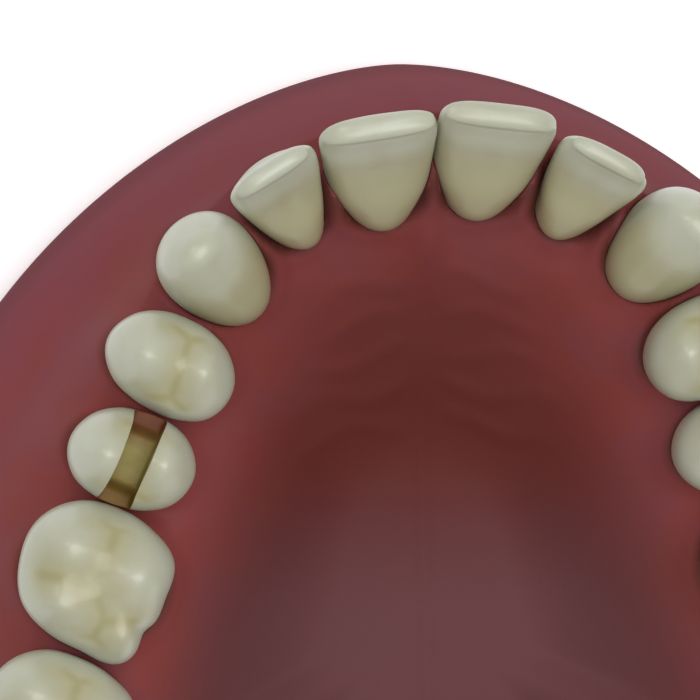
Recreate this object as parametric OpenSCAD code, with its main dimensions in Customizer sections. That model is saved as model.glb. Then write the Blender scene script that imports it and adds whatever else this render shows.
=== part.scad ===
// Upper jaw of a typodont: fourteen removable teeth in a rigid jaw base, under a soft gum
// sleeve, each tooth held from below by its own screw. Millimetres, +Z towards the biting
// surfaces, front teeth towards -Y, origin under the middle of the base.

/* [Jaw outline] */
// Width of the gum across the cheeks
jaw_w = 76; // [75:0.5:78]
// Length of the gum from lip to throat
jaw_l = 56; // [55:0.5:58]
// Share of the length that the curved front takes
front_share = 0.674; // [0.66:0.002:0.69]
// Roundness of the front curve, where 2 is an ellipse
front_power = 1.75; // [1.7:0.05:1.9]
// Roundness of the throat end, where larger is squarer
back_power = 5; // [4:0.5:6]

/* [Heights] */
// Height of the biting edges above the resting face
bite_z = 28; // [27:0.5:30]
// Height of the gum crest at the front teeth
front_crest_z = 18.8; // [18.5:0.1:19.2]
// Height of the gum crest at the molars
back_crest_z = 20.4; // [20:0.1:20.6]
// Height of the roof of the mouth at its deepest
vault_z = 11; // [10.5:0.25:12]
// Height of the rolled outer edge of the gum
roll_z = 7.5; // [6.5:0.5:8.5]
// Height of the lower edge of the gum
hem_z = 2.5; // [2:0.25:3]

/* [Dental arch] */
// Radius of the front part of the arch, through the middle of the crowns
arch_r = 19; // [18.5:0.25:20]
// Angle at which each arm of the arch leaves the front curve
arch_turn = 73; // [72:1:74]
// Distance from the lip edge of the gum back to the arch curve
arch_setback = 4.1; // [3.9:0.1:4.4]

/* [Gum and sockets] */
// Thickness of the gum sleeve
gum_t = 2; // [1.75:0.25:2.25]
// Gap between the gum and the base under it
lining_gap = 0.03; // [0.02:0.01:0.05]
// Gap between a tooth and its socket
socket_gap = 0.12; // [0.1:0.01:0.15]
// Gap between neighbouring crowns
contact_gap = 0.3; // [0.26:0.02:0.4]
// Root length below the neck
root_l = 9; // [8.5:0.25:9.5]

/* [Tooth screws] */
// Radius of a tooth screw's shank
screw_r = 1; // [0.9:0.05:1.1]
// Radius of a tooth screw's head
head_r = 1.6; // [1.5:0.05:1.7]
// Height of a tooth screw's head
head_h = 1.4; // [1.2:0.1:1.5]
// Length of the screw that reaches into the root
bite_l = 5; // [4:0.25:5.5]
// Depth of the seat under the head, measured from the resting face
seat_z = 3.4; // [3.2:0.1:3.6]

/* [Mounting plate] */
// Width of the mounting plate
plate_w = 25; // [24:0.5:26]
// Length of the mounting plate
plate_l = 21; // [20:0.5:22]
// Thickness of the mounting plate
plate_t = 3; // [2.5:0.25:3.25]
// Radius of the thread in the middle of the plate
thread_r = 2.5; // [2:0.25:3]
// Radius of the two dowel holes
dowel_r = 1.5; // [1.25:0.25:1.75]
// Distance between the two dowel holes
dowel_pitch = 16; // [15:0.5:17]

/* [Prepared tooth] */
// Width of the cavity cut through the prepared premolar
slot_w = 2; // [1.6:0.1:2.4]
// Depth of the cavity below the cusps
slot_d = 3.6; // [3:0.1:4]

/* [Hidden] */
TEETH = ["central_incisor", "lateral_incisor", "canine", "first_premolar",
         "second_premolar", "first_molar", "second_molar"];
SIDES = ["right", "left"];
TOOTH_NODES = [for (side = SIDES) for (t = TEETH) str(side, "_", t)];

gum_colour = [0.58, 0.25, 0.27];
base_colour = [0.78, 0.55, 0.52];
tooth_colour = [0.86, 0.84, 0.70];
steel_colour = [0.75, 0.76, 0.78];
brass_colour = [0.80, 0.65, 0.32];

// One value for each tooth of a side, from the midline back
CROWN_MD = [8.6, 6.9, 7.8, 7.2, 6.8, 10.8, 10.0];   // width along the arch
CROWN_BL = [7.2, 6.6, 8.2, 9.4, 9.0, 11.2, 11.0];   // width across the arch
CROWN_H = [11.2, 10.2, 11.0, 9.2, 8.8, 8.6, 8.4];   // neck to biting edge
NECK_MD = [6.4, 5.0, 5.8, 5.0, 4.9, 8.0, 7.8];      // neck width along the arch
NECK_BL = [6.2, 5.4, 7.0, 7.6, 7.4, 9.4, 9.2];      // neck width across the arch
LEAN = [14, 13, 8, 3, 2, 2, 2];                     // outward lean of the crown, degrees
ROUND = [2.2, 2.2, 2.1, 2.3, 2.3, 2.7, 2.7];        // squareness of the crown's outline
CUSPS = [0, 0, 0, 2, 2, 4, 4];                      // cusps round the biting surface
EDGE_OUT = [1.7, 1.5, 0.9, 0, 0, 0, 0];             // shift of the biting edge to the lip
EDGE_MD = [0.86, 0.8, 0.32, 0, 0, 0, 0];            // biting edge's share of the crown width
// Distance that each tooth stands inside the arch curve, right side then left side
INSET = [[1.5, 0.6, 0.4, 0, -0.9, -0.9, -0.8], [1, 0.5, -0.8, -0.2, 0.2, 0, 0]];
last_tooth = len(TEETH) - 1;
prepared = [0, 4];                                  // right second premolar

// Round the jaw: polar curves about the middle of its widest place
front_l = jaw_l * front_share;
back_l = jaw_l - front_l;
hub_y = front_l - jaw_l / 2;
half_w = jaw_w / 2;

function rim(a, inset = 0) =
    let (b = sin(a) < 0 ? front_l : back_l, n = sin(a) < 0 ? front_power : back_power)
    pow(pow(abs(cos(a)) / half_w, n) + pow(abs(sin(a)) / b, n), -1 / n) - inset;

// The arch: a circular front with straight arms, by distance from the midline
arch_y = -jaw_l / 2 + arch_setback + arch_r;
arc_l = arch_r * arch_turn * PI / 180;
function arch(s) =
    let (a = min(s, arc_l) / arch_r * 180 / PI, e = max(0, s - arc_l))
    [arch_r * sin(a) + e * cos(a), arch_y - arch_r * cos(a) + e * sin(a)];
function arch_angle(s) = min(s, arc_l) / arch_r * 180 / PI;

function sum_to(list, n) = n == 0 ? 0 : list[n - 1] + sum_to(list, n - 1);
function station(t) = sum_to(CROWN_MD, t) + CROWN_MD[t] / 2;
ridge_table = [for (s = [-2:2:station(last_tooth) + 8])
    let (p = arch(s) - [0, hub_y]) [atan2(p.y, p.x), norm(p)]];
back_ridge = 3.5;                                   // least distance from the ridge to the rim
ridge_blend = 1.2;                                  // softness of the turn at the throat end
function fold(a) = atan2(sin(a), abs(cos(a)));
function soft_min(p, q, k) = min(p, q) - k * ln(1 + exp(-abs(p - q) / k));
function ridge(a) = soft_min(lookup(fold(a), ridge_table), rim(a) - back_ridge, ridge_blend);

function ease(t) = let (c = max(0, min(1, t))) c * c * (3 - 2 * c);
crest_rise = [-70, -10];                            // where the crest climbs towards the molars
ridge_fade = [26, 52];                              // where the ridge dies away behind the molars
function between(a, span) = ease((fold(a) - span[0]) / (span[1] - span[0]));
function crest(a) =
    let (top = front_crest_z + (back_crest_z - front_crest_z) * between(a, crest_rise))
    top + (vault_z - top) * between(a, ridge_fade);

vault_flat = 0.25;                                  // share of the vault that is its floor
vault_foot = 0.86;                                  // where the vault meets the tooth necks
slope_top = 0.3;                                    // where the outer slope leaves the crest
slope_power = 1.25;                                 // fullness of the outer slope
function inner_z(a, q) =
    vault_z + (crest(a) - vault_z) * ease((q - vault_flat) / (vault_foot - vault_flat));
function outer_z(a, w) =
    crest(a) - (crest(a) - roll_z) * pow(max(0, (w - slope_top) / (1 - slope_top)), slope_power);

spokes = 80;
q_steps = [0.3, 0.45, 0.6, 0.75, 0.9];
w_steps = [0, 0.3, 0.5, 0.65, 0.8, 0.92, 1];

// The gum's upper surface as rings of [radius, angle, height], sunk by drop and pulled in by inset
function around(f) = [for (j = [0:spokes - 1]) f(j * 360 / spokes)];
function skin(drop, inset) = concat(
    [for (q = q_steps) around(function(a) [ridge(a) * q, a, inner_z(a, q) - drop])],
    [for (w = w_steps) around(function(a)
        [ridge(a) + (rim(a, inset) - ridge(a)) * w, a, outer_z(a, w) - drop])]);
function rim_ring(inset, z) = around(function(a) [rim(a, inset), a, z]);
function reversed(list) = [for (i = [len(list) - 1:-1:0]) list[i]];

// One closed skin through a list of rings, with a middle point before the first and after the
// last. From the ring turned_from on, the facets lean the other way.
module jaw_solid(rings, first_z, last_z, turned_from) {
    count = len(rings);
    points = concat([for (r = rings) for (p = r) [p[0] * cos(p[1]), hub_y + p[0] * sin(p[1]), p[2]]],
                    [[0, hub_y, first_z], [0, hub_y, last_z]]);
    top = count * spokes;
    faces = concat(
        [for (i = [0:count - 2]) for (j = [0:spokes - 1]) for (half = [0, 1])
            let (k = (j + 1) % spokes, low = i * spokes, high = low + spokes)
            i < turned_from
            ? (half == 0 ? [low + j, low + k, high + k] : [low + j, high + k, high + j])
            : (half == 0 ? [low + j, low + k, high + j] : [low + k, high + k, high + j])],
        [for (j = [0:spokes - 1]) [top, (j + 1) % spokes, j]],
        [for (j = [0:spokes - 1])
            [top + 1, (count - 1) * spokes + j, (count - 1) * spokes + (j + 1) % spokes]]);
    polyhedron(points, faces);
}

// A tooth as a stack of rounded outlines: [height, width, depth, shift to the lip]. These
// tables give them as shares of the tooth's own sizes, from the root's end up.
root_taper = 0.55;
ROOT_LEVELS = [[-1, root_taper], [-0.5, 0.88], [0, 1]];
FRONT_LEVELS = [[0.22, 0.88, 1, 0], [0.45, 0.94, 0.78, 0.35], [0.7, 1, 0.47, 0.76]];
BACK_LEVELS = [[0.22, 0.88, 0.95, 0], [0.45, 0.97, 1, 0], [0.7, 1, 0.92, 0],
               [0.88, 0.93, 0.78, 0], [1, 0.8, 0.6, 0]];
edge_t = 0.8;                                       // thickness of a front tooth's edge
bevel_t = 1.8;                                      // thickness where the edge's bevel starts
bevel_h = 0.92;                                     // share of the height below the bevel
fossa_depth = 1.6;                                  // depth of the hollow between the cusps
FOSSA_LEVEL = [0.6, 0.4, 0.28];                     // hollow's slope: shares of drop, width, depth
function levels(t) =
    let (h = CROWN_H[t], md = CROWN_MD[t] - contact_gap, bl = CROWN_BL[t], out = EDGE_OUT[t],
         front = CUSPS[t] == 0)
    concat([for (r = ROOT_LEVELS) [r[0] * root_l, r[1] * NECK_MD[t], r[1] * NECK_BL[t], 0]],
           [for (c = front ? FRONT_LEVELS : BACK_LEVELS)
               [c[0] * h, c[1] * md, c[2] * bl, c[3] * out]],
           front
           ? [[bevel_h * h, md * (1 + EDGE_MD[t]) / 2, bevel_t, out], [h, md * EDGE_MD[t], edge_t, out]]
           : [[h - FOSSA_LEVEL[0] * fossa_depth, FOSSA_LEVEL[1] * md, FOSSA_LEVEL[2] * bl, 0]]);
tooth_sides = 24;
cusp_drop = 0.9;                                    // dip of the rim between two cusps
dip_from = 0.95;                                    // share of the height where the dips begin
function cusp_dip(t, level, a) =
    level[0] < dip_from * CROWN_H[t] ? 0 : cusp_drop * (
        CUSPS[t] == 2 ? abs(cos(a)) :
        CUSPS[t] == 4 ? abs(cos(2 * a)) : 0);
function signed_pow(v, p) = sign(v) * pow(abs(v), p);
function outline(t, level, grow, a) =
    [(level[1] / 2 + grow) * signed_pow(cos(a), 2 / ROUND[t]),
     (level[2] / 2 + grow) * signed_pow(sin(a), 2 / ROUND[t]) + level[3],
     level[0] - cusp_dip(t, level, a)];
function ring(t, level, grow) =
    [for (j = [0:tooth_sides - 1]) outline(t, level, grow, j * 360 / tooth_sides)];

// Joins a list of rings into one closed skin, with a point below the first and above the last
module stack(rings, end_z, top_z) {
    sides = len(rings[0]);
    count = len(rings);
    low = (rings[0][0] + rings[0][sides / 2]) / 2;
    high = (rings[count - 1][0] + rings[count - 1][sides / 2]) / 2;
    points = concat([for (r = rings) for (p = r) p],
                    [[low.x, low.y, end_z], [high.x, high.y, top_z]]);
    faces = concat(
        [for (i = [0:count - 2]) for (j = [0:sides - 1]) for (half = [0, 1])
            let (k = (j + 1) % sides)
            half == 0 ? [i * sides + j, (i + 1) * sides + k, i * sides + k]
                      : [i * sides + j, (i + 1) * sides + j, (i + 1) * sides + k]],
        [for (j = [0:sides - 1]) [count * sides, j, (j + 1) % sides]],
        [for (j = [0:sides - 1])
            [count * sides + 1, (count - 1) * sides + (j + 1) % sides,
             (count - 1) * sides + j]]);
    polyhedron(points, faces);
}

module tooth_body(t) {
    top_z = CROWN_H[t] - (CUSPS[t] == 0 ? 0 : fossa_depth);
    stack([for (level = levels(t)) ring(t, level, 0)], -root_l, top_z);
}

// What a tooth's root and neck need cleared out of the gum and the base
socket_rows = 5;                                    // levels of the tooth, counted from the root's end
module socket(t) {
    rows = levels(t);
    floor_z = -root_l - socket_gap;
    cut = concat([[floor_z, rows[0][1], rows[0][2], 0]], [for (i = [1:socket_rows - 1]) rows[i]]);
    stack([for (level = cut) ring(t, level, socket_gap)], floor_z, cut[socket_rows - 1][0]);
}

// Moves what is drawn in a tooth's own frame to its place in the jaw
contact_h = 0.7;                                    // share of the crown below the arch curve
module at_tooth(side, t) {
    p = arch(station(t));
    a = arch_angle(station(t));
    reach = CROWN_H[t] * contact_h;
    mirror([side, 0, 0])
        translate([p.x - INSET[side][t] * sin(a), p.y + INSET[side][t] * cos(a),
                   bite_z - (CROWN_H[t] - reach) * cos(LEAN[t])])
            rotate([0, 0, a + 180])
                rotate([-LEAN[t], 0, 0])
                    translate([0, 0, -reach])
                        children();
}

// Distance down the tooth's own axis from its neck to a given height of the jaw
function neck_z(t) = bite_z - CROWN_H[t] * cos(LEAN[t]);
function down_to(t, z) = (neck_z(t) - z) / cos(LEAN[t]);

past = 1;                                           // how far a cut runs past a face
shank_sides = 24;                                   // facets round a shank, a head and a bore
head_sides = 32;
bore_sides = 48;
bore_slack = 0.05;                                  // round a screw's shank in the root
bore_spare = 1;                                     // beyond the screw's end in the root

module tooth(side, t) {
    color(tooth_colour)
        at_tooth(side, t)
            difference() {
                tooth_body(t);
                translate([0, 0, -root_l - past])
                    cylinder(r = screw_r + bore_slack, h = past + bite_l + bore_spare, $fn = shank_sides);
                if ([side, t] == prepared)
                    translate([-CROWN_MD[t], -slot_w / 2, CROWN_H[t] - slot_d])
                        cube([2 * CROWN_MD[t], slot_w, 2 * slot_d]);
            }
}

module gingiva() {
    outside = concat(skin(0, 0), [rim_ring(0, hem_z), rim_ring(gum_t, hem_z)]);
    rings = concat(outside, reversed(skin(gum_t, gum_t)));
    color(gum_colour)
        difference() {
            jaw_solid(rings, vault_z, vault_z - gum_t, len(outside) - 1);
            for (side = [0, 1]) for (t = [0:last_tooth]) at_tooth(side, t) socket(t);
        }
}

flange_inset = 0.6;                                 // base's foot, inside the gum's rim
plate_y = 3;
plate_corner = 4;
plate_gap = 0.1;
module plate_shape(gap) {
    corner_x = plate_w / 2 - plate_corner;
    corner_y = plate_l / 2 - plate_corner;
    translate([0, plate_y])
        hull()
            for (x = [-corner_x, corner_x]) for (y = [-corner_y, corner_y])
                translate([x, y]) circle(r = plate_corner + gap, $fn = bore_sides);
}

screw_edge = 4;                                     // from the plate's edge to each of its screws
screw_x = plate_w / 2 - screw_edge;
screw_y = plate_l / 2 - screw_edge;
module at_plate_screws() {
    for (x = [-screw_x, screw_x]) for (y = [-screw_y, screw_y])
        translate([x, plate_y + y, 0]) children();
}

bush_r = 4;
bush_h = 6;
bush_floor = 1;                                     // solid end above the thread
fixing_r = 1.25;                                    // plate screws: shank, head and length
fixing_l = 6.5;
fixing_head_r = 2.4;
fixing_head_h = 1.5;
fixing_rise = 0.1;                                  // heads sit this far above the resting face
head_gap = 0.2;                                     // round every screw head
shank_gap = 0.3;                                    // round a tooth screw in the base
drive_r = 0.9;                                      // six-sided socket in every head
drive_depth = 0.9;

// The passage for one tooth's screw, drawn in the tooth's own frame
module screw_passage(t) {
    low = -down_to(t, 0) - 3 * past;
    translate([0, 0, low]) {
        cylinder(r = screw_r + shank_gap, h = -root_l + past - low, $fn = shank_sides);
        cylinder(r = head_r + head_gap, h = -down_to(t, seat_z) - low, $fn = head_sides);
    }
}

module jaw_base() {
    under = gum_t + lining_gap;
    rings = concat(skin(under, under),
                   [rim_ring(under, hem_z), rim_ring(flange_inset, hem_z), rim_ring(flange_inset, 0)]);
    color(base_colour)
        difference() {
            jaw_solid(rings, vault_z - under, 0, len(rings));
            for (side = [0, 1]) for (t = [0:last_tooth]) at_tooth(side, t) {
                socket(t);
                screw_passage(t);
            }
            translate([0, 0, -past])
                linear_extrude(plate_t + past) plate_shape(plate_gap);
            at_plate_screws() cylinder(r = fixing_r, h = fixing_l, $fn = shank_sides);
            translate([0, plate_y, 0]) cylinder(r = bush_r, h = bush_h, $fn = bore_sides);
        }
}

module mounting_plate() {
    color(steel_colour)
        difference() {
            linear_extrude(plate_t) plate_shape(0);
            at_plate_screws() translate([0, 0, -past]) {
                cylinder(r = fixing_r + head_gap, h = plate_t + 2 * past, $fn = shank_sides);
                cylinder(r = fixing_head_r + head_gap, h = past + fixing_rise + fixing_head_h,
                         $fn = head_sides);
            }
            translate([0, plate_y, -past]) cylinder(r = bush_r, h = plate_t + 2 * past, $fn = bore_sides);
            for (x = [-dowel_pitch / 2, dowel_pitch / 2])
                translate([x, plate_y, -past])
                    cylinder(r = dowel_r, h = plate_t + 2 * past, $fn = bore_sides);
        }
}

module threaded_bush() {
    color(brass_colour)
        translate([0, plate_y, 0])
            difference() {
                cylinder(r = bush_r, h = bush_h, $fn = bore_sides);
                translate([0, 0, -past])
                    cylinder(r = thread_r, h = past + bush_h - bush_floor, $fn = bore_sides);
            }
}

// A cap screw standing on its head, with its seat at the height of the origin
module cap_screw(shank_r, shank_l, cap_r, cap_h) {
    difference() {
        union() {
            cylinder(r = shank_r, h = shank_l, $fn = shank_sides);
            translate([0, 0, -cap_h]) cylinder(r = cap_r, h = cap_h, $fn = head_sides);
        }
        translate([0, 0, -cap_h - past]) cylinder(r = drive_r, h = past + drive_depth, $fn = 6);
    }
}

module plate_screws() {
    seat = fixing_rise + fixing_head_h;
    color(steel_colour)
        at_plate_screws()
            translate([0, 0, seat])
                cap_screw(fixing_r, fixing_l - seat, fixing_head_r, fixing_head_h);
}

module tooth_screws() {
    color(steel_colour)
        for (side = [0, 1]) for (t = [0:last_tooth])
            at_tooth(side, t) translate([0, 0, -down_to(t, seat_z)])
                cap_screw(screw_r, down_to(t, seat_z) - root_l + bite_l, head_r, head_h);
}

gingiva();
jaw_base();
mounting_plate();
plate_screws();
threaded_bush();
tooth_screws();
for (side = [0, 1]) for (t = [0:last_tooth])
    tooth(side, t);
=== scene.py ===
import math

import bpy
import bmesh
import numpy as np
from mathutils import Matrix, Vector


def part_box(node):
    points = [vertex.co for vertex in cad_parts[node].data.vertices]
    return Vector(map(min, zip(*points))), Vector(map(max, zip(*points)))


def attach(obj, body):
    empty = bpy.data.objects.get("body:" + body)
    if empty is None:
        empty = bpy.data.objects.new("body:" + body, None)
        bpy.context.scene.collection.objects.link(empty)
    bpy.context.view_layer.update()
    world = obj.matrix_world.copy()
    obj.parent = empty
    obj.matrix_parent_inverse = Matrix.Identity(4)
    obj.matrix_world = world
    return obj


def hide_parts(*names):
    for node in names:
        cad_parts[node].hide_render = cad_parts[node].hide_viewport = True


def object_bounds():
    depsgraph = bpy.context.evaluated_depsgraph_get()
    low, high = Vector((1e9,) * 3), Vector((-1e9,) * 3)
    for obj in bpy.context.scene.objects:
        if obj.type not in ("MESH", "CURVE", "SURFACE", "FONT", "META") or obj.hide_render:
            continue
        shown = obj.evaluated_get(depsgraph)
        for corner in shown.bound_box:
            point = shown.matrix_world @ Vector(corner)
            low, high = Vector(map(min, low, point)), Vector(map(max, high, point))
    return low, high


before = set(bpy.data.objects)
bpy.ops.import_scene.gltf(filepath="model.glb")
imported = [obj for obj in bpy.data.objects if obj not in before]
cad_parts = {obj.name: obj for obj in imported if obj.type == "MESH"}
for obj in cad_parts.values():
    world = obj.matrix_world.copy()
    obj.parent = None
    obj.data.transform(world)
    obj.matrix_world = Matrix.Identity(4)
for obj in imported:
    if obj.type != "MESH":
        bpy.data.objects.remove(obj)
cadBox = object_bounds()
mm = 0.001
print("frame loaded with", len(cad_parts), "nodes")


# The jaw's form, in millimetres, as the frame has it
jaw = {
    "frontShare": 0.674,  # share of the length in front of the widest place
    "frontPower": 1.75,
    "backPower": 5.0,
    "archRadius": 19.0,
    "archTurn": 73.0,
    "archSetback": 4.1,
    "biteHeight": 28.0,
    "frontCrest": 18.8,
    "backCrest": 20.4,
    "vaultHeight": 11.0,
    "rollHeight": 7.5,
    "hemHeight": 2.5,
    "gumThickness": 2.0,
    "riseStart": -70, "riseRun": 60,  # degrees over which the crest rises from front to back
    "throatStart": 26, "throatRun": 26,  # degrees over which it drops to the vault
    "vaultEdge": 0.25, "vaultRun": 0.61, "shelf": 0.3, "fallPower": 1.25,
    "ridgeMargin": 3.5, "ridgeSoftness": 1.2,  # how the ridge keeps inside the rim
}
halfWidth = cadBox[1].x / mm
jawLength = (cadBox[1].y - cadBox[0].y) / mm
frontLength = jawLength * jaw["frontShare"]
backLength = jawLength - frontLength
hubY = frontLength - jawLength / 2
archTurn = math.radians(jaw["archTurn"])
arcLength = jaw["archRadius"] * archTurn
archY = -jawLength / 2 + jaw["archSetback"] + jaw["archRadius"]

# Lengths in millimetres, angles in degrees. The front teeth are sections stacked from neck
# to edge, one row for each height: share of the height, half width, lip side, palate side,
# squareness, and how much narrower the palate side is. The back teeth have an outline, as
# radii every 30 degrees from the midline side through the cheek, and a row for each cusp:
# mesial place, cheek place, drop below the bite, and reach both ways. A ridge has two ends,
# a drop and a reach, and a notch an angle, a width and a depth. Insets and turns are for the
# right side, then the left.
teeth = {
    "central_incisor": {
        "wide": 8.6, "high": 11.2, "neck": (6.4, 6.2), "lean": 14, "inset": (1.5, 1.0),
        "rows": [(0.00, 3.20, 3.10, -3.10, 2.0, 0.06), (0.16, 3.55, 3.40, -4.10, 2.05, 0.26),
                 (0.36, 3.95, 3.50, -3.50, 2.15, 0.15), (0.56, 4.08, 3.30, -2.30, 2.25, 0.10),
                 (0.75, 4.15, 2.95, -0.95, 2.4, 0.04), (0.90, 4.13, 2.60, 0.02, 2.7, 0.0),
                 (1.00, 3.96, 2.35, 0.52, 3.0, 0.0)],
        "edgeRound": 0.7, "tipPower": 2.0, "corner": (0.2, 0.8), "turn": (-6, -5)},
    "lateral_incisor": {
        "wide": 6.9, "high": 10.2, "neck": (5.0, 5.4), "lean": 13, "inset": (0.6, 0.5),
        "rows": [(0.00, 2.50, 2.70, -2.70, 2.0, 0.06), (0.16, 2.80, 3.00, -3.65, 2.0, 0.28),
                 (0.36, 3.05, 3.05, -3.20, 2.05, 0.22), (0.58, 3.28, 2.90, -1.95, 2.15, 0.12),
                 (0.76, 3.40, 2.50, -0.75, 2.3, 0.04), (0.91, 3.30, 2.15, 0.08, 2.5, 0.0),
                 (1.00, 2.95, 1.90, 0.45, 2.7, 0.0)],
        "edgeRound": 0.7, "tipPower": 2.0, "corner": (0.3, 0.9), "turn": (-6, -7)},
    "canine": {
        "wide": 7.8, "high": 11.0, "neck": (5.8, 7.0), "lean": 8, "inset": (0.4, -0.8),
        "rows": [(0.00, 2.90, 3.50, -3.50, 2.0, 0.05), (0.20, 3.40, 3.95, -4.50, 2.0, 0.12),
                 (0.42, 3.85, 4.15, -4.40, 2.0, 0.20), (0.60, 3.90, 4.05, -3.60, 2.0, 0.24),
                 (0.76, 3.55, 3.70, -2.30, 2.0, 0.22), (0.90, 2.75, 3.15, -0.90, 2.0, 0.12),
                 (1.00, 1.75, 2.50, 0.00, 2.0, 0.0)],
        "edgeRound": 0.8, "tipPower": 1.0, "corner": (0, 0), "turn": (-15, -15)},
    "first_premolar": {
        "wide": 7.2, "high": 9.2, "neck": (5.0, 7.6), "lean": 3, "inset": (0, -0.2), "turn": (-7, -3),
        "outline": (3.45, 3.8, 4.4, 4.75, 4.2, 3.55, 3.4, 3.85, 4.6, 4.7, 4.2, 3.65),
        "cusps": [(0.1, 2.2, 0.0, 3.1, 2.6), (0.5, -2.4, 0.5, 3.0, 2.5)],
        "ridges": [], "margins": (1.5, 1.6)},
    "second_premolar": {
        "wide": 6.8, "high": 8.8, "neck": (4.9, 7.4), "lean": 2, "inset": (-0.9, 0.2), "turn": (0, 0),
        "outline": (3.38, 3.7, 4.2, 4.5, 4.2, 3.6, 3.38, 3.7, 4.3, 4.55, 4.2, 3.65),
        "cusps": [(0.0, 2.2, 0.0, 3.0, 2.6), (0.3, -2.3, 0.3, 3.0, 2.5)],
        "ridges": [], "margins": (1.4, 1.5)},
    "first_molar": {
        "wide": 10.8, "high": 8.6, "neck": (8.0, 9.4), "lean": 2, "inset": (-0.9, 0), "turn": (0, 0),
        "outline": (5.3, 5.8, 6.0, 5.65, 5.5, 5.0, 4.95, 5.9, 5.1, 4.8, 5.45, 5.2),
        "cusps": [(2.2, 2.9, 0.1, 3.2, 3.1), (-2.3, 2.6, 0.3, 3.0, 3.1),
                  (1.2, -2.8, 0.0, 3.5, 3.2), (-3.3, -2.9, 0.6, 2.4, 2.4)],
        "ridges": [((0.2, -1.5), (-1.5, 1.3), 1.8, 2.0)], "margins": (1.6, 1.7), "notch": (236, 11, 0.45)},
    "second_molar": {
        "wide": 10.0, "high": 8.4, "neck": (7.8, 9.2), "lean": 2, "inset": (-0.8, 0), "turn": (0, 0),
        "outline": (4.95, 5.5, 5.8, 5.5, 5.1, 4.6, 4.5, 5.3, 4.9, 4.9, 5.35, 4.95),
        "cusps": [(2.0, 2.8, 0.1, 3.0, 3.0), (-2.1, 2.5, 0.4, 2.8, 3.0),
                  (0.9, -2.8, 0.0, 3.3, 3.1), (-2.7, -2.8, 0.9, 2.2, 2.3)],
        "ridges": [((0.2, -1.5), (-1.3, 1.2), 1.9, 1.9)], "margins": (1.6, 1.7), "notch": (232, 11, 0.3)},
}
kinds = list(teeth)
sides = ["right", "left"]
crown = {
    "contactShare": 0.7,  # share of the height at which a crown meets the arch curve
    "contourShare": 0.44,  # height of the widest place on a back tooth
    "capPower": 2.6,  # fullness of a back tooth's shoulders
    "cuspSlope": 1.95,
    "cuspPower": 1.6,
    "cuspRound": 0.35,
    "grooveBlend": 0.5,
    "grooveWidth": 0.45, "basinWidth": 1.9,
    "fossaDepth": 0.5, "fossaPlace": 0.6, "fossaWidth": 0.2,  # hollow behind a front tooth
    "sideRidge": 0.15, "streaks": 0.05,
    "rootLength": 9.0,
    "rootEnd": 0.55,
    "rootMiddle": 0.88,
    "boreRadius": 1.05,
    "boreDepth": 6.0,
    "columns": 112,
}
for kind, tooth in teeth.items():
    before = [teeth[k]["wide"] for k in kinds[:kinds.index(kind)]]
    tooth["station"] = sum(before) + tooth["wide"] / 2


def ease(t):  # smooth step from 0 to 1
    c = np.clip(t, 0, 1)
    return c * c * (3 - 2 * c)


def bump(x, centre, width):  # bell curve of height 1
    return np.exp(-(((x - centre) / width) ** 2))


def signedPower(value, power):
    return np.sign(value) * np.abs(value) ** power


def smoothCurve(x, xs, ys):  # cubic through the points, with slopes taken from their neighbours
    xs, ys = np.asarray(xs, float), np.asarray(ys, float)
    slopes = np.gradient(ys, xs)
    i = np.clip(np.searchsorted(xs, x) - 1, 0, len(xs) - 2)
    step = xs[i + 1] - xs[i]
    t = np.clip((x - xs[i]) / step, 0, 1)
    return ((1 + 2 * t) * (1 - t) ** 2 * ys[i] + t * (1 - t) ** 2 * step * slopes[i]
            + t * t * (3 - 2 * t) * ys[i + 1] + t * t * (t - 1) * step * slopes[i + 1])


def archPoint(s):  # a circle about the front, then a straight arm at the circle's end angle
    a = min(s, arcLength) / jaw["archRadius"]
    arm = max(0, s - arcLength)
    r = jaw["archRadius"]
    return (r * math.sin(a) + arm * math.cos(archTurn),
            archY - r * math.cos(a) + arm * math.sin(archTurn))


def archAngle(s):
    return min(s, arcLength) / jaw["archRadius"]


def rimRadius(a, inset=0.0):  # superellipse about the hub, fuller behind than in front
    behind = np.sin(a) >= 0
    length = np.where(behind, backLength, frontLength)
    power = np.where(behind, jaw["backPower"], jaw["frontPower"])
    return ((np.abs(np.cos(a)) / halfWidth) ** power
            + (np.abs(np.sin(a)) / length) ** power) ** (-1 / power) - inset


def fold(a):  # the same angle on the right half
    return np.arctan2(np.sin(a), np.abs(np.cos(a)))


ridgePoints = np.array([archPoint(s) for s in np.arange(-2, teeth["second_molar"]["station"] + 8, 0.5)])
ridgeAngles = np.arctan2(ridgePoints[:, 1] - hubY, ridgePoints[:, 0])
ridgeRadii = np.hypot(ridgePoints[:, 0], ridgePoints[:, 1] - hubY)


def ridgeRadius(a):  # the arch curve, softly held inside the rim
    along = np.interp(fold(a), ridgeAngles, ridgeRadii)
    limit, soft = rimRadius(a) - jaw["ridgeMargin"], jaw["ridgeSoftness"]
    return np.minimum(along, limit) - soft * np.log(1 + np.exp(-np.abs(along - limit) / soft))


def crestHeight(a):  # from the front's height to the back's, then down to the vault at the throat
    degrees = np.degrees(fold(a))
    rise = ease((degrees - jaw["riseStart"]) / jaw["riseRun"])
    top = jaw["frontCrest"] + (jaw["backCrest"] - jaw["frontCrest"]) * rise
    return top + (jaw["vaultHeight"] - top) * ease((degrees - jaw["throatStart"]) / jaw["throatRun"])


def innerHeight(a, q):  # smooth step from the vault at the hub (q 0) up to the ridge (q 1)
    rise = ease((q - jaw["vaultEdge"]) / jaw["vaultRun"])
    return jaw["vaultHeight"] + (crestHeight(a) - jaw["vaultHeight"]) * rise


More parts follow.
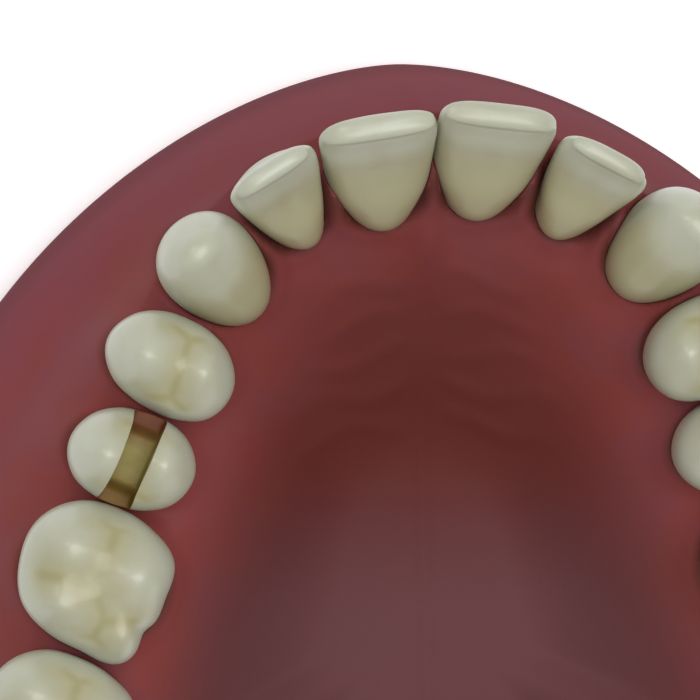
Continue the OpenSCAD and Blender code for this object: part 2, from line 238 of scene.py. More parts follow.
def outerHeight(a, w):  # level by the ridge (w 0), then a power curve down to the border (w 1)
    fall = np.clip((w - jaw["shelf"]) / (1 - jaw["shelf"]), 0, None) ** jaw["fallPower"]
    return crestHeight(a) - (crestHeight(a) - jaw["rollHeight"]) * fall


def addMesh(name, points, faces, masks=None):
    mesh = bpy.data.meshes.new(name)
    mesh.from_pydata((points * mm).tolist(), [], faces)
    for label, values in (masks or {}).items():
        mesh.attributes.new(label, "FLOAT", "POINT").data.foreach_set("value", values.astype(np.float32))
    turned = bmesh.new()
    turned.from_mesh(mesh)
    bmesh.ops.recalc_face_normals(turned, faces=turned.faces)
    turned.to_mesh(mesh)
    turned.free()
    mesh.polygons.foreach_set("use_smooth", [True] * len(mesh.polygons))
    piece = bpy.data.objects.new(name, mesh)
    bpy.context.scene.collection.objects.link(piece)
    return piece


# Closed skin over rings of points: neighbouring rings are joined by quads, and the first
# and last ring are closed by a fan of triangles to their middle
def ringFaces(rows, cols):
    i = np.arange(rows - 1)[:, None] * cols
    j = np.arange(cols)[None, :]
    k = (j + 1) % cols
    quads = np.stack([i + j, i + k, i + cols + k, i + cols + j], axis=-1).reshape(-1, 4)
    around = np.arange(cols)
    nextOne = (around + 1) % cols
    last = (rows - 1) * cols
    first = np.stack([np.full(cols, rows * cols), nextOne, around], axis=-1)
    final = np.stack([np.full(cols, rows * cols + 1), last + around, last + nextOne], axis=-1)
    return quads.tolist() + first.tolist() + final.tolist()


def ringPoints(rings):
    poles = np.stack([rings[0].mean(0), rings[-1].mean(0)])
    return np.vstack([rings.reshape(-1, 3), poles])


def ringMask(values):
    return np.concatenate([values.ravel(), [values[0].mean(), values[-1].mean()]])


def ringSurface(name, rings, masks=None):
    rows, cols = rings.shape[:2]
    return addMesh(name, ringPoints(rings), ringFaces(rows, cols),
                   {label: ringMask(v) for label, v in (masks or {}).items()})


angles = np.linspace(0, 2 * np.pi, crown["columns"], endpoint=False)[None, :]


# Section of a front tooth at a share of its height: a superellipse from lip to palate,
# narrowed towards the palate. There it is hollowed by a bell curve of the height times
# (1 - across squared), less a bell curve for the ridge on each side, plus a cosine of the
# width for the faint streaks.
def frontSection(tooth, share, grow):
    table = np.array(tooth["rows"])
    half, lip, palate, power, taper = (smoothCurve(share, table[:, 0], table[:, i]) for i in range(1, 6))
    x = (half + grow) * signedPower(np.cos(angles), 2 / power)
    y = (lip + palate) / 2 + ((lip - palate) / 2 + grow) * signedPower(np.sin(angles), 2 / power)
    back = np.clip((lip - y) / (lip - palate), 0, 1)
    across = np.clip(np.abs(x) / half, 0, 1)
    x = x * (1 - taper * back)
    nearFossa = bump(share, crown["fossaPlace"], 0.25)
    fossa = crown["fossaDepth"] * bump(share, crown["fossaPlace"], crown["fossaWidth"]) * (1 - across ** 2)
    fossa -= crown["sideRidge"] * nearFossa * bump(across, 0.75, 0.2)
    streaks = crown["streaks"] * np.cos(9 * across) * nearFossa
    return x, y + (fossa + streaks) * ease((back - 0.5) / 0.3)


# Outline of a back tooth: a smooth closed curve through its radii, less a bell curve for
# its notch
def backOutline(tooth, grow):
    given = np.array(tooth["outline"])
    step = 2 * np.pi / len(given)
    places = np.arange(-3, len(given) + 4)
    r = smoothCurve(angles / step, places, given[places % len(given)]) + grow
    at, width, depth = np.radians(tooth.get("notch", (0, 1, 0))) * (1, 1, 180 / np.pi)
    r = r - depth * bump(angles, at, width)
    return r * np.cos(angles), r * np.sin(angles)


# Height of the biting surface: the highest of several rounded pyramids, softly joined by
# the logarithm of the sum of their exponentials. Each falls from its tip by the slope times
# distance squared over distance plus a small rounding. The masks are 1 where the two
# highest are level, one narrow and one wide; they paint shade into the grooves and the basin.
def biteSurface(tooth, x, y):
    high, slope, p = tooth["high"], crown["cuspSlope"], crown["cuspPower"]
    half = tooth["wide"] / 2
    fields = []
    for cx, cy, drop, rx, ry in tooth["cusps"]:
        away = ((np.abs(x - cx) / rx) ** p + (np.abs(y - cy) / ry) ** p) ** (1 / p)
        fields.append(high - drop - slope * away ** 2 / (away + crown["cuspRound"]))
    for start, end, drop, reach in tooth["ridges"]:
        start, end = np.array(start), np.array(end)
        way = end - start
        t = np.clip(((x - start[0]) * way[0] + (y - start[1]) * way[1]) / (way @ way), 0, 1)
        away = np.hypot(x - start[0] - t * way[0], y - start[1] - t * way[1])
        fields.append(high - drop - slope * (away / reach) ** 2 / (away / reach + 0.3))
    for side, drop in zip((1, -1), tooth["margins"]):
        away = np.abs(x - side * half * 0.8) / 1.7
        fields.append(high - drop - slope * (away ** 2 / (away + 0.3) + (np.abs(y) / 4.2) ** 2.4))
    stack = np.sort(np.stack(fields), axis=0)
    blend = crown["grooveBlend"]
    z = stack[-1] + blend * np.log(np.exp((stack - stack[-1]) / blend).sum(0))
    gap = stack[-1] - stack[-2]
    return z, np.exp(-((gap / crown["grooveWidth"]) ** 2)), np.exp(-((gap / crown["basinWidth"]) ** 2))


def rootShares(z):  # how much of the neck's size is left at a depth in the root
    length = crown["rootLength"]
    return smoothCurve(z, [-length, -length / 2, 0], [crown["rootEnd"], crown["rootMiddle"], 1])


def ring(x, y, z):
    return np.stack(np.broadcast_arrays(x, y, z), axis=-1)


# One closed skin: up the screw hole, down its wall, out over the root's end, up the root,
# up the crown's side, and in over the biting surface. The root is an ellipse scaled by its
# depth. A back crown swells from the neck by a sine to its outline, then closes over by a
# superellipse whose rise is scaled by the biting surface's height.
def toothRings(kind):
    tooth = teeth[kind]
    length, high = crown["rootLength"], tooth["high"]
    boreShare = np.concatenate([[0], np.linspace(0, 1, 8)])[:, None]
    boreZ = boreShare * -crown["boreDepth"] + crown["boreDepth"] - length
    boreR = np.concatenate([[0.35], np.ones(8)])[:, None] * crown["boreRadius"]
    bore = ring(boreR * np.cos(angles), boreR * np.sin(angles), boreZ)
    rootZ = np.linspace(-length, 0, 22)[:-1, None]
    share = rootShares(rootZ)
    neckHalf, neckDeep = tooth["neck"][0] / 2, tooth["neck"][1] / 2
    root = ring(share * neckHalf * np.cos(angles), share * neckDeep * np.sin(angles), rootZ)
    root[0] *= (0.97, 0.97, 1)
    none = np.zeros(bore.shape[:2]), np.zeros(root.shape[:2])
    grooveShades, hollowShades = list(none), list(none)
    if "rows" in tooth:
        t = np.linspace(0, 1, 78)[:, None]
        x, y = frontSection(tooth, t, 0)
        edge = tooth["edgeRound"]
        side = ring(x, y, t * (high - edge))
        s = np.array([0.985, 0.96, 0.92, 0.84, 0.72, 0.55, 0.35, 0.15])[:, None]
        top = side[-1]
        middle = top.mean(0)
        cap = ring(middle[0] + (top[:, 0] - middle[0]) * s, middle[1] + (top[:, 1] - middle[1]) * s,
                   high - edge * (1 - (1 - s ** 2.2) ** (1 / tooth["tipPower"])))
        # The corners of the edge are rounded off, the one away from the midline more
        for part, rows in ((side, t), (cap, 1)):
            corner = np.where(part[..., 0] > 0, *tooth["corner"])
            across = np.clip(np.abs(part[..., 0]) / tooth["rows"][-1][1], 0, 1)
            part[..., 2] -= corner * across ** 5 * ease((rows - 0.7) / 0.3)
        grooveShades += [np.zeros(side.shape[:2]), np.zeros(cap.shape[:2])]
        # Painted shade on the palate side of a front tooth, fading out towards its edge
        hollowShades += [ease(-np.sin(angles) / 0.5) * (1 - ease((t - 0.62) / 0.34)), np.zeros(cap.shape[:2])]
    else:
        x, y = backOutline(tooth, 0)
        contour = high * crown["contourShare"]
        t = np.linspace(0, 1, 26)[:-1, None]
        swell = np.sin(np.pi / 2 * t ** 0.85)
        neckX, neckY = neckHalf * np.cos(angles), neckDeep * np.sin(angles)
        side = ring(neckX + (x - neckX) * swell, neckY + (y - neckY) * swell, t * contour)
        turn = np.pi / 2 * np.linspace(0, 1, 82)[:-1, None] ** 1.25
        rho, rise = np.cos(turn) ** (2 / crown["capPower"]), np.sin(turn) ** (2 / crown["capPower"])
        z, grooveShade, basinShade = biteSurface(tooth, x * rho, y * rho)
        cap = ring(x * rho, y * rho, contour + (z - contour) * rise)
        cap[..., 2] += high - cap[..., 2].max()
        cap[0, :, 2] = contour
        # Painted shade in the grooves of a back tooth
        grooveShades += [np.zeros(side.shape[:2]), grooveShade * ease((0.9 - rho) / 0.2)]
        # Painted shade in the basin of a back tooth
        hollowShades += [np.zeros(side.shape[:2]), basinShade * ease((0.95 - rho) / 0.25)]
    masks = {"grooveShade": np.concatenate(grooveShades), "hollowShade": np.concatenate(hollowShades)}
    return np.concatenate([bore, root, side, cap]), masks


# Root and lower crown, grown by a gap all round, which is what a tooth's seat has to clear
def socketRings(kind, gap):
    tooth = teeth[kind]
    length = crown["rootLength"]
    neckHalf, neckDeep = tooth["neck"][0] / 2, tooth["neck"][1] / 2
    rootZ = np.linspace(-length - gap, 0, 8)[:-1, None]
    share = rootShares(np.maximum(rootZ, -length))
    root = ring((share * neckHalf + gap) * np.cos(angles), (share * neckDeep + gap) * np.sin(angles), rootZ)
    t = np.linspace(0, gum["frontSeat"] if "rows" in tooth else gum["backSeat"], 20)[:, None]
    if "rows" in tooth:
        x, y = frontSection(tooth, t, gap)
        side = ring(x, y, t * (tooth["high"] - tooth["edgeRound"]))
    else:
        x, y = backOutline(tooth, gap)
        neckX, neckY = (neckHalf + gap) * np.cos(angles), (neckDeep + gap) * np.sin(angles)
        swell = np.sin(np.pi / 2 * (t / crown["contourShare"]) ** 0.85)
        side = ring(neckX + (x - neckX) * swell, neckY + (y - neckY) * swell, t * tooth["high"])
    return np.concatenate([root, side])


# A tooth's own axes in the jaw: x to the midline, y to the cheek, z along the tooth, which
# leans outwards
def toothAxes(kind):
    a = archAngle(teeth[kind]["station"])
    lean = math.radians(teeth[kind]["lean"])
    mesial = np.array([-math.cos(a), -math.sin(a), 0])
    outward = np.array([math.sin(a), -math.cos(a), 0])
    along = outward * math.sin(lean) + np.array([0, 0, math.cos(lean)])
    return mesial, outward * math.cos(lean) - np.array([0, 0, math.sin(lean)]), along


# From a tooth's own axes to its place on the arch curve, mirrored for the left side
def placeInJaw(points, side, kind, turned=False):
    tooth = teeth[kind]
    if turned:  # only above the neck, so the root keeps its seat
        turn = np.radians(tooth["turn"][side]) * ease(points[..., 2:] / 2.5)
        x, y = points[..., :1], points[..., 1:2]
        points = np.concatenate([x * np.cos(turn) - y * np.sin(turn), x * np.sin(turn) + y * np.cos(turn),
                                 points[..., 2:]], axis=-1)
    x, y = archPoint(tooth["station"])
    a = archAngle(tooth["station"])
    reach = tooth["high"] * crown["contactShare"]
    inset = tooth["inset"][side]
    seat = np.array([x - inset * math.sin(a), y + inset * math.cos(a),
                     jaw["biteHeight"] - (tooth["high"] - reach) * math.cos(math.radians(tooth["lean"]))])
    mesial, outward, along = toothAxes(kind)
    placed = seat + points[..., :1] * mesial + points[..., 1:2] * outward + (points[..., 2:] - reach) * along
    return placed * ((-1, 1, 1) if side else (1, 1, 1))


def makeTooth(side, kind):
    rings, masks = toothRings(kind)
    masks["neck"] = (1 - ease(rings[..., 2] / (0.55 * teeth[kind]["high"]))) * ease(rings[..., 2] / 3 + 1)
    return ringSurface(sides[side] + "_" + kind + "_crown", placeInJaw(rings, side, kind, True), masks)


cavity = {
    "side": 0, "kind": "second_premolar", "turn": -8.0,
    "halfWidth": 1.05, "flare": 0.16,  # half width in the middle, and what each end adds
    "floorDepth": 3.0, "boxDepth": 1.5, "boxStart": 1.6, "boxSlope": 0.9,
}


# Cutter: a superellipse carried from the distal to the mesial side, flared by the cube of
# the distance from the middle, and deeper at both ends by a smooth step
def cavityRings():
    tooth = teeth[cavity["kind"]]
    x = np.linspace(-5, 5, 61)[:, None]
    half = cavity["halfWidth"] + cavity["flare"] * np.clip(np.abs(x) / 3.3, 0, 1.2) ** 3
    drop = ease((np.abs(x) - cavity["boxStart"]) / cavity["boxSlope"])
    floor = tooth["high"] - cavity["floorDepth"] - cavity["boxDepth"] * drop
    top = tooth["high"] + 2
    corner = np.linspace(0, 2 * np.pi, 49)[None, :-1]
    y = half * signedPower(np.cos(corner), 0.22)
    z = (top + floor) / 2 + (top - floor) / 2 * signedPower(np.sin(corner), 0.16)
    turn = math.radians(cavity["turn"])
    return ring(x * math.cos(turn) - y * math.sin(turn), x * math.sin(turn) + y * math.cos(turn), z)


def cut(piece, cutter, transfer=False):
    tool = piece.modifiers.new("cut", "BOOLEAN")
    tool.operation = "DIFFERENCE"
    tool.solver = "EXACT"
    tool.object = cutter
    if transfer:
        tool.material_mode = "TRANSFER"
    graph = bpy.context.evaluated_depsgraph_get()
    result = bpy.data.meshes.new_from_object(piece.evaluated_get(graph))
    piece.modifiers.clear()
    old = piece.data
    piece.data = result
    bpy.data.meshes.remove(old)
    bpy.data.objects.remove(cutter)


gum = {
    "columns": 440, "insideRows": 86, "outsideRows": 72, "liningRows": 14,
    "collar": 0.45, "collarWidth": 0.75,
    "papilla": (2.6, 2.4, 2.1, 1.6, 1.3, 1.0, 1.0),  # between two teeth, from the midline back
    "rootSwell": (0.25, 0.2, 0.55, 0.3, 0.25, 0.3, 0.25),
    "rugaHeight": 0.15, "rugaCount": 5, "rugaStart": -13.5, "rugaStep": 2.6,
    "rollHeight": 0.6, "rollPlace": 2.0, "rollWidth": 1.0,  # from the border inwards
    "dipDepth": 0.5, "dipPlace": 4.6, "dipWidth": 1.6,
    "edgeRadius": 1.7, "edgeFullness": 2.3,
    "frenumHeight": 0.8, "frenumWidth": 0.55,
    "socketGap": 0.05,
    "frontSeat": 0.62, "backSeat": 0.42,  # share of the crown's height that a seat clears
    "waviness": 0.05, "papillaWidth": 1.1, "rugaWidth": 0.65, "rugaCurve": 0.2,
    "incisivePapilla": 0.6, "incisivePlace": -16.2, "rapheDepth": 0.12,
}
toothRow = [(0, kind) for kind in reversed(kinds)] + [(1, kind) for kind in kinds]


# Where a tooth's neck stands at the height of the gum, and its two level axes
def neckPlace(side, kind):
    tooth = teeth[kind]
    neck = placeInJaw(np.array([[0, 0, 0.08 * tooth["high"]]]), side, kind)[0]
    a = archAngle(tooth["station"])
    flip = -1 if side else 1
    return neck, np.array([-math.cos(a) * flip, -math.sin(a)]), np.array([math.sin(a) * flip, -math.cos(a)])


# Height that the gum's fine forms add, as a sum of bell curves: a collar round each neck, a
# papilla between two teeth, swellings over the roots, folds across the front palate, a
# rolled border with a dip behind it, and the frenum. Also the distance to the nearest neck.
def gumRelief(x, y, share, fromBorder, ridged):
    extra = gum["waviness"] * np.sin(0.8 * x + 1.1) * np.sin(0.7 * y + 0.4)
    near = np.full_like(x, 9.0)
    palate, outer = share < 0, share >= 0
    for side, kind in toothRow:
        neck, mesial, outward = neckPlace(side, kind)
        across = (x - neck[0]) * mesial[0] + (y - neck[1]) * mesial[1]
        out = (x - neck[0]) * outward[0] + (y - neck[1]) * outward[1]
        half, deep = (np.array(teeth[kind]["neck"]) + 0.5) / 2
        away = (np.sqrt((across / half) ** 2 + (out / deep) ** 2) - 1) * (half + deep) / 2
        near = np.minimum(near, away)
        extra += gum["collar"] * bump(away, 0.55, gum["collarWidth"])
        swell = gum["rootSwell"][kinds.index(kind)] * bump(across, 0, 2.2)
        extra += swell * bump(share, 0.5, 0.22) * (out > 0)
    for first, second in zip(toothRow, toothRow[1:]):
        here, there = neckPlace(*first)[0], neckPlace(*second)[0]
        number = max(kinds.index(first[1]), kinds.index(second[1]))
        middle, way = (here + there) / 2, (there - here)[:2] / np.linalg.norm((there - here)[:2])
        along = (x - middle[0]) * way[0] + (y - middle[1]) * way[1]
        across = (x - middle[0]) * way[1] - (y - middle[1]) * way[0]
        papilla = gum["papilla"][number] * bump(along, 0, gum["papillaWidth"])
        extra += papilla * bump(across, 0, 2.2 + 0.25 * number)
    # Folds: curved ridges on both sides of the midline, longer towards the back
    order = np.arange(gum["rugaCount"])[:, None, None]
    middleY = gum["rugaStart"] + gum["rugaStep"] * order + gum["rugaCurve"] * np.abs(x)
    line = y - (middleY + 0.5 * np.sin(0.8 * x + 1.7 * order))
    window = ease((np.abs(x) - 0.7) / 1.5) * (1 - ease((np.abs(x) - 5.0 - 0.7 * order) / 3.5))
    extra += (gum["rugaHeight"] * bump(line, 0, gum["rugaWidth"]) * window).sum(0) * palate
    extra += gum["incisivePapilla"] * bump(x, 0, 1.1) * bump(y, gum["incisivePlace"], 1.8) * palate
    extra -= gum["rapheDepth"] * bump(x, 0, 0.6) * ease((y + 13) / 3) * palate
    extra += gum["rollHeight"] * bump(fromBorder, gum["rollPlace"], gum["rollWidth"]) * outer
    dip = bump(fromBorder, gum["dipPlace"], gum["dipWidth"]) * ease((share - 0.2) / 0.4)
    extra -= gum["dipDepth"] * dip * ridged
    band = ease(fromBorder / 1.2) * (1 - ease((fromBorder - 3.0) / 1.4)) * outer * (y < archY)
    extra += gum["frenumHeight"] * bump(x, 0.2 * np.sin(fromBorder), gum["frenumWidth"]) * band
    return extra, near


# One closed skin over rings round the hub, from the middle of the palate over the ridge and
# down to the rim, then back along the lining. Radius and height are functions of the angle
# and of the share of the way from hub to ridge to rim. Near the rim the height is drawn
# down to the hem by a superellipse.
def gumRings():
    a = np.linspace(0, 2 * np.pi, gum["columns"], endpoint=False)[None, :]
    ridge, rim = ridgeRadius(a), rimRadius(a)
    q = np.linspace(0, 1, gum["insideRows"] + 1)[1:, None] ** 0.85
    w = 1 - (1 - np.linspace(0, 1, gum["outsideRows"] + 1)[1:, None]) ** 1.5
    radius = np.concatenate([ridge * q, ridge + (rim - ridge) * w])
    height = np.concatenate([innerHeight(a, q), outerHeight(a, w)])
    share = np.concatenate([q - 1 + 0 * a, w + 0 * a])  # below 0 on the palate, 0 to 1 outside
    share[gum["insideRows"] - 1] = -0.001
    fromBorder = rim - radius
    x, y = radius * np.cos(a), hubY + radius * np.sin(a)
    ridged = 1 - ease((np.degrees(fold(a)) - 20) / 20)  # 0 across the throat end
    extra, near = gumRelief(x, y, share, fromBorder, ridged)
    height = height + extra
    # The border rolls over to an upright edge
    turn = np.clip(1 - fromBorder / gum["edgeRadius"], 0, 1) ** gum["edgeFullness"]
    hem = jaw["hemHeight"]
    height = hem + (height - hem) * (1 - turn) ** (1 / gum["edgeFullness"])
    outside = ring(x, y, height)
    thick = jaw["gumThickness"]
    u = np.linspace(1, 0, gum["liningRows"])[:, None]
    low = rimRadius(a, thick)
    liningW = ring((ridge + (low - ridge) * u) * np.cos(a), hubY + (ridge + (low - ridge) * u) * np.sin(a),
                   outerHeight(a, u) - thick)
    hemInside = ring(low * np.cos(a), hubY + low * np.sin(a), hem)
    v = np.linspace(1, 0, gum["liningRows"] + 1)[1:-1, None]
    liningQ = ring(ridge * v * np.cos(a), hubY + ridge * v * np.sin(a), innerHeight(a, v) - thick)
    rings = np.concatenate([outside, hemInside, liningW, liningQ])
    rest = np.zeros((len(rings) - len(outside), gum["columns"]))
    # The palate mask paints shade over the deep vault
    palate = 1 - ease((share + 1 - 0.4 - 0.1 * ease((-y - 5) / 8)) / 0.48)
    slope = 1 - ease((fromBorder - 1) / 5)
    masks = {"palate": np.concatenate([palate, rest]), "slope": np.concatenate([slope, rest]),
             # painted sheen, paler and greyer towards the back of the palate
             "throat": np.concatenate([palate * ease((y + 2) / 14), rest]),
             "matt": np.concatenate([np.maximum(0.3 * palate, slope), rest]),
             # painted shade along the gum's outer edge
             "borderShade": np.concatenate([1 - ease(fromBorder / 0.9), rest]),
             # painted shadow in a thin line round each tooth's neck
             "neckShadow": np.concatenate([bump(near, 0, 0.7), rest])}
    return rings, masks


metal = {
    "columns": 48, "seatHeight": 3.4, "bite": 5.0,
    "toothShank": 1.0, "toothHead": 1.6, "toothHeadHeight": 1.4,
    "plateShank": 1.25, "plateHead": 2.4, "plateHeadHeight": 1.5, "plateRise": 0.1,
    "plateLength": 6.5, "driveRadius": 0.9, "driveDepth": 0.9,
    "pitch": 0.5, "threadDepth": 0.16, "threadRows": 6,
    "bushBore": 2.5, "bushPitch": 0.8, "bushThread": 0.32, "bushEnd": 1.0,
}
around = np.linspace(0, 2 * np.pi, metal["columns"], endpoint=False)[None, :]


def threadWave(z, pitch):  # rounded ridge that climbs one pitch a turn
    return 0.5 + 0.5 * np.cos(2 * np.pi * z / pitch - around)


# Cap screw standing on its head, as a radius for each height: the drive socket, the head
# with a chamfer, a plain neck and a threaded shank, with its seat at height 0. The thread's
# radius is the shank's less its depth times a cosine of the turns climbed.
def screwRings(shank, length, head, headHeight):
    sixSided = math.cos(math.pi / 6) / np.cos((around % (np.pi / 3)) - np.pi / 6)
    drive = metal["driveRadius"] * sixSided
    bottom = -headHeight
    pocket = bottom + metal["driveDepth"]
    profile = [(drive * 0.05, pocket), (drive * 0.98, pocket), (drive, pocket - 0.04), (drive, bottom + 0.05),
               (drive * 1.04, bottom), (head - 0.16, bottom), (head - 0.05, bottom + 0.05),
               (head, bottom + 0.16), (head, -0.1), (head - 0.1, 0), (shank * 1.05, 0), (shank, 0.05)]
    parts = [ring(r * np.cos(around), r * np.sin(around), z) for r, z in profile]
    z = np.linspace(0.1, length - 0.25, int((length - 0.35) / metal["pitch"] * metal["threadRows"]))[:, None]
    run = ease((z - 0.6) / 0.5) * ease((length - 0.2 - z) / 0.4)
    r = shank - metal["threadDepth"] * run * (1 - threadWave(z, metal["pitch"]))
    shankRings = ring(r * np.cos(around), r * np.sin(around), z)
    tip = [ring(shank * s * np.cos(around), shank * s * np.sin(around), zTip)
           for s, zTip in ((0.82, length - 0.1), (0.7, length), (0.1, length))]
    return np.concatenate(parts + [shankRings] + tip)


def joined(name, groups):  # several ring skins in one mesh
    points, faces, start = [], [], 0
    for rings in groups:
        made = ringPoints(rings)
        points.append(made)
        faces += [[start + i for i in face] for face in ringFaces(*rings.shape[:2])]
        start += len(made)
    return addMesh(name, np.vstack(points), faces)


# One screw under each tooth, along the tooth's axis, with its seat in the base and its
# shank's end in the root
def toothScrews():
    groups = []
    for side in (0, 1):
        for kind in kinds:
            tooth = teeth[kind]
            lean = math.cos(math.radians(tooth["lean"]))
            down = (jaw["biteHeight"] - tooth["high"] * lean - metal["seatHeight"]) / lean
            rings = screwRings(metal["toothShank"], down - crown["rootLength"] + metal["bite"],
                               metal["toothHead"], metal["toothHeadHeight"])
            groups.append(placeInJaw(rings + (0, 0, -down), side, kind))
    return joined("tooth_screw_set", groups)


# Four screws at the corners of the plate
def plateScrews():
    low, high = (np.array(v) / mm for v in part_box("plate_screws"))
    head = metal["plateHead"]
    seat = metal["plateRise"] + metal["plateHeadHeight"]
    rings = screwRings(metal["plateShank"], metal["plateLength"] - seat, head, metal["plateHeadHeight"])
    places = [(x, y, seat) for x in (low[0] + head, high[0] - head) for y in (low[1] + head, high[1] - head)]
    return joined("plate_screw_set", [rings + place for place in places])


# Bush, as a radius for each height: down the threaded bore from its blind end, round the
# mouth, and up the outside
def bush():
    low, high = (np.array(v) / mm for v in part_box("threaded_bush"))
    centre, outer, tall = (low + high) / 2, (high[0] - low[0]) / 2, high[2] - low[2]
    bore, depth, pitch = metal["bushBore"], tall - metal["bushEnd"], metal["bushPitch"]
    z = np.linspace(depth - 0.1, 0.5, 60)[:, None]
    r = bore + metal["bushThread"] * threadWave(z, pitch) * ease((z - 0.4) / 0.4)
    thread = ring(r * np.cos(around), r * np.sin(around), z)
    profile = [(bore * 0.1, depth), (bore * 0.98, depth)]
    start = np.concatenate([ring(r1 * np.cos(around), r1 * np.sin(around), z1) for r1, z1 in profile])
    outside = [(bore + 0.05, 0.35), (bore + 0.35, 0.0), (outer - 0.25, 0.0), (outer, 0.25),
               (outer, tall - 0.25), (outer - 0.25, tall), (outer * 0.1, tall)]
    end = np.concatenate([ring(r1 * np.cos(around), r1 * np.sin(around), z1) for r1, z1 in outside])
    return ringSurface("bush_thread", np.concatenate([start, thread, end]) + (centre[0], centre[1], low[2]))


looks = {
    # Tooth: the colours for the hollows and the grooves are painted shade
    "tooth": {"pale": (0.470, 0.480, 0.375), "milky": (0.430, 0.430, 0.315), "hollowShade": (0.370, 0.340, 0.190),
              "grooveShade": (0.260, 0.230, 0.080), "neck": (0.300, 0.230, 0.130), "roughness": 0.33,
              "patchSize": 260.0, "grainSize": 1800.0, "softness": 0.12, "coat": 0.1},
    # Gum: painted shade over the palate, a painted sheen at its back, a painted shadow round each neck and
    # painted shade at the outer edge
    "gum": {"lip": (0.205, 0.050, 0.055), "red": (0.215, 0.046, 0.040), "palate": (0.108, 0.022, 0.018),
            "borderShade": (0.110, 0.034, 0.042), "neckShadow": (0.070, 0.024, 0.016), "roughness": 0.4,
            "slope": (0.205, 0.056, 0.074), "throat": (0.125, 0.046, 0.050), "specular": 0.06,
            "patchSize": 170.0, "grainSize": 2600.0, "softness": 0.08},
    # Cavity: the colours for the front and back ends are painted shade
    "cavity": {"floor": (0.260, 0.220, 0.065), "dark": (0.210, 0.170, 0.045), "front": (0.140, 0.040, 0.012),
               "back": (0.170, 0.090, 0.016), "roughness": 0.5,
               "patchSize": 700.0, "grainSize": 4000.0},
    "base": {"body": (0.520, 0.250, 0.220), "pale": (0.600, 0.320, 0.280), "roughness": 0.38,
             "patchSize": 120.0, "grainSize": 1600.0},
    "steel": {"body": (0.560, 0.570, 0.590), "dark": (0.400, 0.410, 0.430), "roughness": 0.32},
    "brass": {"body": (0.720, 0.520, 0.220), "dark": (0.520, 0.350, 0.130), "roughness": 0.28},
}


# Soft patches and a fine grain, both on the object's own coordinates
def mottleGroup():
    group = bpy.data.node_groups.new("mottle", "ShaderNodeTree")
    for label, value in (("Patch Size", 300.0), ("Grain Size", 2500.0)):
        socket = group.interface.new_socket(label, in_out="INPUT", socket_type="NodeSocketFloat")
        socket.default_value = value
    for label in ("Patches", "Grain"):
        group.interface.new_socket(label, in_out="OUTPUT", socket_type="NodeSocketFloat")
    nodes, links = group.nodes, group.links
    given, out = nodes.new("NodeGroupInput"), nodes.new("NodeGroupOutput")
    place = nodes.new("ShaderNodeTexCoord")
    for label, scale, detail in (("Patches", "Patch Size", 3.0), ("Grain", "Grain Size", 5.0)):
        noise = nodes.new("ShaderNodeTexNoise")
        noise.inputs["Detail"].default_value = detail
        links.new(place.outputs["Object"], noise.inputs["Vector"])
        links.new(given.outputs[scale], noise.inputs["Scale"])
        links.new(noise.outputs["Fac"], out.inputs[label])
    return group


# Fine parallel scratches left by machining
def brushedGroup():
    group = bpy.data.node_groups.new("brushed", "ShaderNodeTree")
    socket = group.interface.new_socket("Scale", in_out="INPUT", socket_type="NodeSocketFloat")
    socket.default_value = 400.0
    group.interface.new_socket("Scratches", in_out="OUTPUT", socket_type="NodeSocketFloat")
    nodes, links = group.nodes, group.links
    given, out = nodes.new("NodeGroupInput"), nodes.new("NodeGroupOutput")
    place, stretch = nodes.new("ShaderNodeTexCoord"), nodes.new("ShaderNodeMapping")
    noise = nodes.new("ShaderNodeTexNoise")
    stretch.inputs["Scale"].default_value = (1.0, 14.0, 14.0)
    noise.inputs["Detail"].default_value = 4.0
    links.new(place.outputs["Object"], stretch.inputs["Vector"])
    links.new(stretch.outputs["Vector"], noise.inputs["Vector"])
    links.new(given.outputs["Scale"], noise.inputs["Scale"])
    links.new(noise.outputs["Fac"], out.inputs["Scratches"])
    return group


mottle, brushed = mottleGroup(), brushedGroup()


class Paint:
    def __init__(self, name, look):
        self.material = bpy.data.materials.new(name)
        self.material.use_nodes = True
        self.nodes, self.links = self.material.node_tree.nodes, self.material.node_tree.links
        self.shader = self.nodes["Principled BSDF"]
        self.shader.inputs["Roughness"].default_value = look["roughness"]

    def group(self, tree, **values):
        node = self.nodes.new("ShaderNodeGroup")
        node.node_tree = tree
        for label, value in values.items():
            node.inputs[label].default_value = value
        return node

    def spots(self, look):
        return self.group(mottle, **{"Patch Size": look["patchSize"], "Grain Size": look["grainSize"]})

    def mask(self, label):
        node = self.nodes.new("ShaderNodeAttribute")
        node.attribute_name = label
        return node.outputs["Fac"]

    def remap(self, source, low, high, start=0.0, end=1.0):
        node = self.nodes.new("ShaderNodeMapRange")
        for label, value in (("From Min", low), ("From Max", high), ("To Min", start), ("To Max", end)):
            node.inputs[label].default_value = value
        self.links.new(source, node.inputs["Value"])
        return node.outputs["Result"]

    def blend(self, factor, first, second):
        node = self.nodes.new("ShaderNodeMix")
        node.data_type = "RGBA"
        for socket, value in ((node.inputs[6], first), (node.inputs[7], second)):
            if isinstance(value, tuple):
                socket.default_value = (*value, 1.0)
            else:
                self.links.new(value, socket)
        self.links.new(factor, node.inputs[0])
        return node.outputs[2]

    def colour(self, source):
        self.links.new(source, self.shader.inputs["Base Color"])

    def rough(self, source):
        self.links.new(source, self.shader.inputs["Roughness"])

    def relief(self, source, strength, distance):
        node = self.nodes.new("ShaderNodeBump")
        node.inputs["Strength"].default_value = strength
        node.inputs["Distance"].default_value = distance
        self.links.new(source, node.inputs["Height"])
        self.links.new(node.outputs["Normal"], self.shader.inputs["Normal"])


